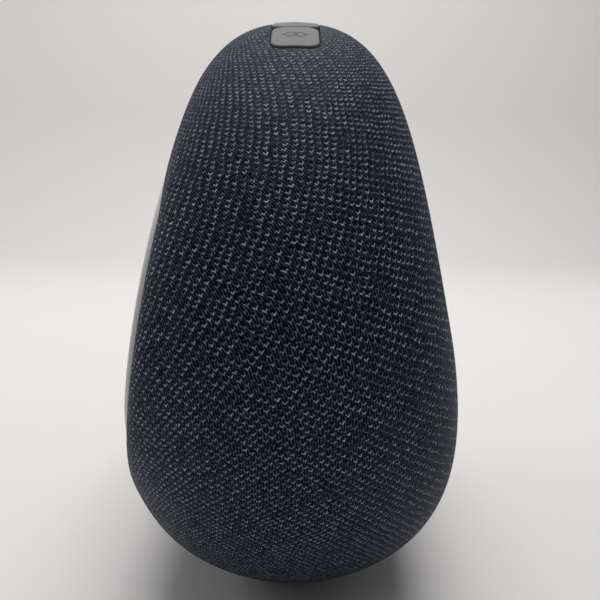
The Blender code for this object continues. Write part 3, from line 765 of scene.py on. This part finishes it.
rim_profile = rounded(BEZEL_OUTER - RIM_ROUND, -RIM_ROUND, RIM_ROUND, 0, 90)
rim_profile += rounded(BEZEL_INNER + LEDGE_ROUND, -LEDGE_ROUND, LEDGE_ROUND, 90, 180)
rim_profile += [(BEZEL_INNER, -LEDGE_DEEP), (BEZEL_LEDGE, -LEDGE_DEEP), (BEZEL_LEDGE, -BEZEL_DEEP),
                (BEZEL_OUTER, -BEZEL_DEEP)]
rim_plastic = satin_abs()
rim_mesh = sweep_profile("front_rim", pill_path(PANEL_STRAIGHT), rim_profile)
show("front_rim", rim_mesh, front_frame, "hub", rim_plastic, ["front_bezel"])

# %% [markdown]
# The cover glass is float glass, ground to a soft edge and printed black behind, apart from a window over
# the display and a small one over the light sensor. When the display is off, the window is a shade less
# black than the print. Two fine holes let sound in to the microphones.

# %% Cover glass
GLASS_RADIUS = 37.7
GLASS_TOP = -0.2
GLASS_THICK = 1.3
GLASS_EDGE = 0.3
PORT_PLACES = ((-18.0, 34.1), (18.0, 34.1))
PORT_RADIUS = 0.5
WINDOW_HALF = (53.5, 31.0)
SENSOR_RADIUS = 1.1
PRINT_SOFT = 0.1       # width over which the print's edge fades


def plate(name, outlines, low, high, edge):
    """A flat plate with rounded edges. The first outline is its rim and the others are holes."""
    curve = bpy.data.curves.new(name, "CURVE")
    curve.dimensions = "2D"
    curve.fill_mode = "BOTH"
    curve.extrude = ((high - low) / 2 - edge) * MM
    curve.bevel_depth = edge * MM
    curve.bevel_resolution = 3
    for points in outlines:
        spline = curve.splines.new("POLY")
        spline.points.add(len(points) - 1)
        for point, (x, y) in zip(spline.points, points):
            point.co = (x * MM, y * MM, 0.0, 1.0)
        spline.use_cyclic_u = True
    guide = bpy.data.objects.new(name + "_guide", curve)
    bpy.context.scene.collection.objects.link(guide)
    shape = guide.evaluated_get(bpy.context.evaluated_depsgraph_get())
    mesh = bpy.data.meshes.new_from_object(shape)
    mesh.name = name
    bpy.data.objects.remove(guide)
    bm = bmesh.new()
    bm.from_mesh(mesh)
    bmesh.ops.remove_doubles(bm, verts=bm.verts, dist=0.002 * MM)
    bmesh.ops.translate(bm, verts=bm.verts, vec=(0.0, 0.0, (low + high) / 2 * MM))
    bmesh.ops.recalc_face_normals(bm, faces=bm.faces)
    bm.to_mesh(mesh)
    bm.free()
    for face in mesh.polygons:
        face.use_smooth = abs(face.normal.z) < 0.999
    return mesh


def pill_outline(straight, radius):
    return [(cx + radius * dx, radius * dy) for cx, dx, dy in pill_path(straight)]


def circle_outline(centre, radius, steps=24):
    turns = [2 * math.pi * i / steps for i in range(steps)]
    return [(centre[0] + radius * math.cos(a), centre[1] + radius * math.sin(a)) for a in turns]


def printed_glass():
    """Float glass printed black behind: mirror smooth in front, with the display's window in the print."""
    made, shader = start("printed_float_glass", Roughness=0.04, IOR=1.52, Coat_Weight=1.0,
                         Coat_Roughness=0.02)
    place = add(made, "TexCoord", out=3)
    x = add(made, "SeparateXYZ", [place])
    y = add(made, "SeparateXYZ", [place], out=1)
    over = []
    for axis, half in ((x, WINDOW_HALF[0]), (y, WINDOW_HALF[1])):
        size = add(made, "Math", [axis], operation="ABSOLUTE")
        over.append(add(made, "MapRange", {"Value": size, "From Min": (half - PRINT_SOFT) * MM,
                                           "From Max": half * MM, "To Min": 1.0, "To Max": 0.0}))
    window = add(made, "Math", over, operation="MULTIPLY")
    away = add(made, "VectorMath", [place, (0.0, PORT_PLACES[0][1] * MM, GLASS_TOP * MM)], out=1,
               operation="DISTANCE")
    sensor = add(made, "MapRange", {"Value": away, "From Min": (SENSOR_RADIUS + PRINT_SOFT) * MM,
                                    "From Max": SENSOR_RADIUS * MM})
    tint = add(made, "Mix", {0: window, 6: linear("#060607"), 7: linear("#0e0f13")}, out=2,
               data_type="RGBA")
    tint = add(made, "Mix", {0: sensor, 6: tint, 7: linear("#1c1620")}, out=2, data_type="RGBA")
    smear = add(made, "TexNoise", {"Vector": place, "Scale": 1 / (25 * MM), "Detail": 4.0})
    rough = add(made, "MapRange", {"Value": smear, "From Min": 0.45, "From Max": 0.75, "To Min": 0.035,
                                   "To Max": 0.075})
    feed(made, shader, Base_Color=tint, Roughness=rough)
    return made


glass_outlines = [pill_outline(PANEL_STRAIGHT, GLASS_RADIUS - GLASS_EDGE)]
glass_outlines += [circle_outline(place, PORT_RADIUS + GLASS_EDGE) for place in PORT_PLACES]
glass_mesh = plate("front_glass", glass_outlines, GLASS_TOP - GLASS_THICK, GLASS_TOP, GLASS_EDGE)
show("front_glass", glass_mesh, front_frame, "hub", printed_glass(), ["cover_glass"])

# %% [markdown]
# ## The keys
# Each key is a cap of soft-touch rubber on a round stem. Its top carries on the curve of the crown, its
# edges are rounded, and its mark is sunk a little into it. A fine grid of points is pressed into that
# shape. The same distance that sinks the mark also colours it.

# %% Shape of a key
KEY_WIDTH = 11.6
KEY_RISE = 0.15
KEY_DEEP = 1.6         # height of the cap's wall
KEY_CORNER = 3.4
KEY_EDGE = 0.4
KEY_GRID = 0.22
STEM_RADIUS = 1.8      # the stem that reaches down to the switch
STEM_START = 1.0
STEM_END = 5.3
MARK_DEEP = 0.16
MARK_SOFT = 0.09
KEYS = {
    "key_mute": (-54.5, 15.2),
    "key_volume_down": (-39.3, 14.9),
    "key_action": (0.0, 62.0),
    "key_volume_up": (39.3, 14.9),
    "key_pair": (54.5, 15.2),
}


def grid_line(half):
    """Places along one side of a key: close together near the edges, where the cap rounds off."""
    edge = [KEY_EDGE * (1 - math.cos(math.pi / 2 * i / 6)) for i in range(7)]
    inner = half - KEY_EDGE
    count = max(4, round(2 * inner / KEY_GRID))
    middle = [-inner + 2 * inner * i / count for i in range(1, count)]
    return np.array([-half + e for e in edge] + middle + [half - e for e in reversed(edge)])


def round_corners(x, y, half_x, half_y):
    """Press a rectangular grid into a rectangle with round corners."""
    a = np.clip((np.abs(x) - (half_x - KEY_CORNER)) / KEY_CORNER, 0.0, 1.0)
    b = np.clip((np.abs(y) - (half_y - KEY_CORNER)) / KEY_CORNER, 0.0, 1.0)
    new_x = np.where(a > 0, half_x - KEY_CORNER + KEY_CORNER * a * np.sqrt(1 - b * b / 2), np.abs(x))
    new_y = np.where(b > 0, half_y - KEY_CORNER + KEY_CORNER * b * np.sqrt(1 - a * a / 2), np.abs(y))
    return np.copysign(new_x, x), np.copysign(new_y, y)


# %% Marks
STROKE = 0.26          # half the thickness of a mark's line


def ring_mark(x, y, radius):
    return np.abs(np.hypot(x, y) - radius) - STROKE


def bar_mark(x, y, start_at, end_at):
    """Distance from a straight line with round ends."""
    run = np.subtract(end_at, start_at)
    along = ((x - start_at[0]) * run[0] + (y - start_at[1]) * run[1]) / (run @ run)
    along = np.clip(along, 0.0, 1.0)
    return np.hypot(x - start_at[0] - along * run[0], y - start_at[1] - along * run[1]) - STROKE


def linked_rings(x, y):
    ends = [bar_mark(x, y, (0.0, side * 2.6), (0.0, side * 3.2)) for side in (-1, 1)]
    return np.minimum.reduce([ring_mark(x, y + 1.05, 1.45), ring_mark(x, y - 1.05, 1.45), *ends])


def plus_sign(x, y):
    return np.minimum(bar_mark(x, y, (-2.0, 0.0), (2.0, 0.0)), bar_mark(x, y, (0.0, -2.0), (0.0, 2.0)))


def minus_sign(x, y):
    return bar_mark(x, y, (-2.0, 0.0), (2.0, 0.0))


def struck_microphone(x, y):
    capsule = np.abs(pill_distance(y - 0.7, x, 0.9, 0.95)) - STROKE
    cradle = np.where(y < 0.4, ring_mark(x, y - 0.4, 1.9), FAR)
    stand = bar_mark(x, y, (0.0, -1.7), (0.0, -2.7))
    return np.minimum.reduce([capsule, cradle, stand, bar_mark(x, y, (-2.5, -2.5), (2.5, 2.9))])


def action_dot(x, y):
    return np.minimum(ring_mark(x, y, 1.9), np.hypot(x, y) - 0.6)


MARKS = {
    "key_mute": struck_microphone,
    "key_volume_down": minus_sign,
    "key_action": action_dot,
    "key_volume_up": plus_sign,
    "key_pair": linked_rings,
}
print("marks for", ", ".join(MARKS))


# %% Press the keys
def crown_over(middle, x, y):
    """Height of the crown in the frame of a key, which is tilted along the ridge."""
    tilt = ridge_tilt(middle)
    along = middle + x * math.cos(tilt)
    crown = skin_z(along, y, np.full_like(x, HEIGHT)) - ridge_height(middle)
    return (along - middle) * math.sin(tilt) + crown * math.cos(tilt)


def key_cap(name):
    middle, length = KEYS[name]
    half_x, half_y = length / 2, KEY_WIDTH / 2
    tilt = ridge_tilt(middle)
    gx, gy = np.meshgrid(grid_line(half_x), grid_line(half_y), indexing="ij")
    x, y = round_corners(gx, gy, half_x, half_y)
    z = crown_over(middle, x, y) + KEY_RISE
    inside = np.clip(-box_distance(x, y, half_x, half_y, KEY_CORNER), 0.0, KEY_EDGE)
    z -= KEY_EDGE - np.sqrt(np.maximum(KEY_EDGE ** 2 - (KEY_EDGE - inside) ** 2, 0.0))
    mark = np.clip(0.5 - MARKS[name](x, y) / (2 * MARK_SOFT), 0.0, 1.0)
    mark = mark * mark * (3 - 2 * mark)
    z -= MARK_DEEP * mark
    rows, columns = x.shape
    points = np.stack([x, y, z], 2).reshape(-1, 3).tolist()
    faces = [(i * columns + j, (i + 1) * columns + j, (i + 1) * columns + j + 1, i * columns + j + 1)
             for i in range(rows - 1) for j in range(columns - 1)]
    last_i, last_j = rows - 1, columns - 1
    around = [(0, j) for j in range(columns)] + [(i, last_j) for i in range(1, rows)]
    around += [(last_i, j) for j in range(last_j - 1, -1, -1)] + [(i, 0) for i in range(last_i - 1, 0, -1)]
    under = {}
    for i, j in around:
        under[i, j] = len(points)
        low = crown_over(middle, x[i, j:j + 1], np.zeros(1))[0] + KEY_RISE - KEY_DEEP
        points.append([x[i, j], y[i, j], low])
    for (i, j), (k, m) in zip(around, around[1:] + around[:1]):
        faces.append((i * columns + j, k * columns + m, under[k, m], under[i, j]))
    faces += [(under[i, 0], under[i, last_j], under[i + 1, last_j], under[i + 1, 0]) for i in range(last_i)]
    faces += [tuple(under[i, j] for j in range(columns)) for i in (0, last_i)]
    mesh = bpy.data.meshes.new(name + "_cap")
    mesh.from_pydata([[c * MM for c in point] for point in points], [], faces)
    shade = mesh.attributes.new("mark", "FLOAT", "POINT")
    shade.data.foreach_set("value", np.append(mark.reshape(-1), np.zeros(len(around))))
    bm = bmesh.new()
    bm.from_mesh(mesh)
    stem = bmesh.ops.create_cone(bm, cap_ends=True, segments=32, radius1=STEM_RADIUS * MM,
                                 radius2=STEM_RADIUS * MM, depth=(STEM_END - STEM_START) * MM)["verts"]
    bmesh.ops.translate(bm, verts=stem, vec=(0.0, 0.0, -(STEM_END + STEM_START) / 2 * MM))
    bmesh.ops.recalc_face_normals(bm, faces=bm.faces)
    bm.to_mesh(mesh)
    bm.free()
    mesh.shade_smooth()
    mesh.set_sharp_from_angle(angle=math.radians(50))
    place = Matrix.Translation(Vector((middle, 0.0, float(ridge_height(middle)))) * MM)
    return mesh, place @ Matrix.Rotation(tilt, 4, "Y")


def soft_touch_rubber():
    """Moulded silicone with a soft-touch coat: matt mid grey, with a fine grain and a darker sunk mark."""
    made, shader = start("soft_touch_silicone", Roughness=0.6, Specular_IOR_Level=0.35, Sheen_Weight=0.08)
    place = add(made, "TexCoord", out=3)
    grain = add(made, "TexNoise", {"Vector": place, "Scale": 1 / (0.30 * MM), "Detail": 4.0})
    cloud = add(made, "TexNoise", {"Vector": place, "Scale": 1 / (6 * MM), "Detail": 3.0})
    tint = add(made, "Mix", {0: cloud, 6: linear("#5b5b5d"), 7: linear("#666667")}, out=2, data_type="RGBA")
    mark = add(made, "Attribute", out=2, attribute_name="mark")
    tint = add(made, "Mix", {0: mark, 6: tint, 7: linear("#333336")}, out=2, data_type="RGBA")
    rough = add(made, "MapRange", {"Value": grain, "To Min": 0.52, "To Max": 0.68})
    bump = add(made, "Bump", {"Strength": 0.3, "Distance": 0.03 * MM, "Height": grain})
    feed(made, shader, Base_Color=tint, Roughness=rough, Normal=bump)
    return made


key_rubber = soft_touch_rubber()
for key in KEYS:
    cap, place = key_cap(key)
    body = key if key in frame["bodies"] else "hub"
    show(key + "_cap", cap, place, body, key_rubber, [key])

# %% [markdown]
# ## The foot and the power inlet
# The hub stands on a pill-shaped pad of moulded rubber, and its lead plugs in at the back, inside a small
# collar of the same grey plastic as the rim.

# %% Foot and collar
def moulded_rubber():
    """Black moulded rubber: dull, with the fine pebbling of a blasted mould."""
    made, shader = start("moulded_rubber", Roughness=0.85, Specular_IOR_Level=0.3)
    place = add(made, "TexCoord", out=3)
    pebble = add(made, "TexVoronoi", {"Vector": place, "Scale": 1 / (0.5 * MM)})
    cloud = add(made, "TexNoise", {"Vector": place, "Scale": 1 / (9 * MM), "Detail": 3.0})
    tint = add(made, "Mix", {0: cloud, 6: linear("#161617"), 7: linear("#212123")}, out=2, data_type="RGBA")
    bump = add(made, "Bump", {"Strength": 0.4, "Distance": 0.05 * MM, "Height": pebble})
    feed(made, shader, Base_Color=tint, Normal=bump)
    return made


def corner_outline(half_x, half_y, radius, steps=10):
    points = []
    for quarter, (sx, sy) in enumerate(((1, 1), (-1, 1), (-1, -1), (1, -1))):
        for step in range(steps + 1):
            angle = math.pi / 2 * (quarter + step / steps)
            points.append((sx * (half_x - radius) + radius * math.cos(angle),
                           sy * (half_y - radius) + radius * math.sin(angle)))
    return points


rubber = moulded_rubber()
foot_low, foot_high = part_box("rubber_foot")
FOOT_EDGE = 0.5
foot_radius = foot_high.y / MM - FOOT_EDGE
foot_straight = foot_high.x / MM - foot_high.y / MM
foot_mesh = plate("foot_pad", [pill_outline(foot_straight, foot_radius)], foot_low.z / MM, foot_high.z / MM,
                  FOOT_EDGE)
show("foot_pad", foot_mesh, Matrix.Identity(4), "hub", rubber, ["rubber_foot"])

INLET_FACE = 36.0
COLLAR = (6.4, 3.4, 2.7)
COLLAR_MOUTH = (5.2, 2.2, 2.0)
COLLAR_EDGE = 0.25
COLLAR_REACH = (-2.2, 1.2)     # its back and its front, from the inlet's face
inlet_frame = Matrix.Translation(Vector((0.0, INLET_FACE, INLET_HEIGHT)) * MM) @ Matrix.Rotation(
    -math.pi / 2, 4, "X")
collar_lines = [corner_outline(COLLAR[0] - COLLAR_EDGE, COLLAR[1] - COLLAR_EDGE, COLLAR[2] - COLLAR_EDGE),
                corner_outline(COLLAR_MOUTH[0] + COLLAR_EDGE, COLLAR_MOUTH[1] + COLLAR_EDGE,
                               COLLAR_MOUTH[2] + COLLAR_EDGE)]
collar_mesh = plate("inlet_collar", collar_lines, *COLLAR_REACH, COLLAR_EDGE)
show("inlet_collar", collar_mesh, inlet_frame, "hub", rim_plastic, ["socket_trim"])

# %% [markdown]
# ## Inside
# The other pieces keep their CAD shape and get the finish of the real thing. Each material is one line of
# a table: its two colours, the size and strength of its grain, and its shader values.

# %% Materials of the inner pieces
GRAINS = {
    # name: (dark, light, grain in mm, stretch along X, bump, shader values)
    "textured_black_abs": ("#17171a", "#202023", 0.5, 1, 0.3, {"Roughness": 0.55}),
    "cold_rolled_steel": ("#8d8f91", "#a9abad", 0.25, 18, 0.15, {"Roughness": 0.32, "Metallic": 1.0}),
    "zinc_plated_steel": ("#9a9da2", "#c0bfb8", 1.6, 1, 0.1, {"Roughness": 0.28, "Metallic": 1.0}),
    "brushed_aluminium": ("#a9abae", "#c6c8ca", 0.15, 40, 0.3, {"Roughness": 0.35, "Metallic": 1.0}),
    "green_solder_mask": ("#0b3320", "#14513a", 1.1, 1, 0.5, {"Roughness": 0.35, "Coat_Weight": 0.4}),
    "polyimide_film": ("#6b3708", "#8a4a10", 0.8, 12, 0.1, {"Roughness": 0.3, "Coat_Weight": 0.3}),
    "pressed_pulp": ("#151516", "#2a2928", 0.7, 1, 0.7, {"Roughness": 0.9}),
    "sintered_ferrite": ("#2b2b2d", "#3c3c3f", 0.2, 1, 0.4, {"Roughness": 0.5, "Metallic": 0.3}),
    "liquid_crystal_panel": ("#0a0b0e", "#14161b", 0.3, 1, 0.05, {"Roughness": 0.2}),
}


def grained(name):
    """A material whose colour and roughness follow one noise of a real size."""
    dark, light, grain, stretch, strength, values = GRAINS[name]
    made, shader = start(name, **values)
    place = add(made, "TexCoord", out=3)
    place = add(made, "VectorMath", [place, (1 / stretch, 1.0, 1.0)], operation="MULTIPLY")
    noise = add(made, "TexNoise", {"Vector": place, "Scale": 1 / (grain * MM), "Detail": 4.0})
    tint = add(made, "Mix", {0: noise, 6: linear(dark), 7: linear(light)}, out=2, data_type="RGBA")
    rough = add(made, "MapRange", {"Value": noise, "To Min": values["Roughness"] - 0.06,
                                   "To Max": values["Roughness"] + 0.06})
    bump = add(made, "Bump", {"Strength": strength, "Distance": 0.05 * MM, "Height": noise})
    feed(made, shader, Base_Color=tint, Roughness=rough, Normal=bump)
    return made


FINISHES = {
    "textured_black_abs": ("rear_housing", "front_chassis", "key_tray", "base_plate", "radiator_frame"),
    "cold_rolled_steel": ("speaker_basket", "shield_can", "ballast", "power_socket", "radio_module"),
    "zinc_plated_steel": ("base_screw", "chassis_screw", "switch", "microphone"),
    "brushed_aluminium": ("display_backplate", "heat_spreader"),
    "green_solder_mask": ("main_board", "key_board", "power_board", "light_sensor"),
    "polyimide_film": ("antenna", "display_ribbon"),
    "pressed_pulp": ("speaker_cone", "radiator_plate"),
    "sintered_ferrite": ("speaker_magnet",),
    "liquid_crystal_panel": ("display_panel",),
}
finishes = {name: grained(name) for name in GRAINS}
finishes["moulded_rubber"] = rubber
families = {**FINISHES, "moulded_rubber": ("speaker_surround", "radiator_surround", "speaker_lead")}
for name, starts in families.items():
    dressed = [node for node in nodes if node.startswith(starts) and not nodes[node].hide_render]
    for node in dressed:
        nodes[node].data.materials.clear()
        nodes[node].data.materials.append(finishes[name])
    print(name, "on", len(dressed), "pieces")
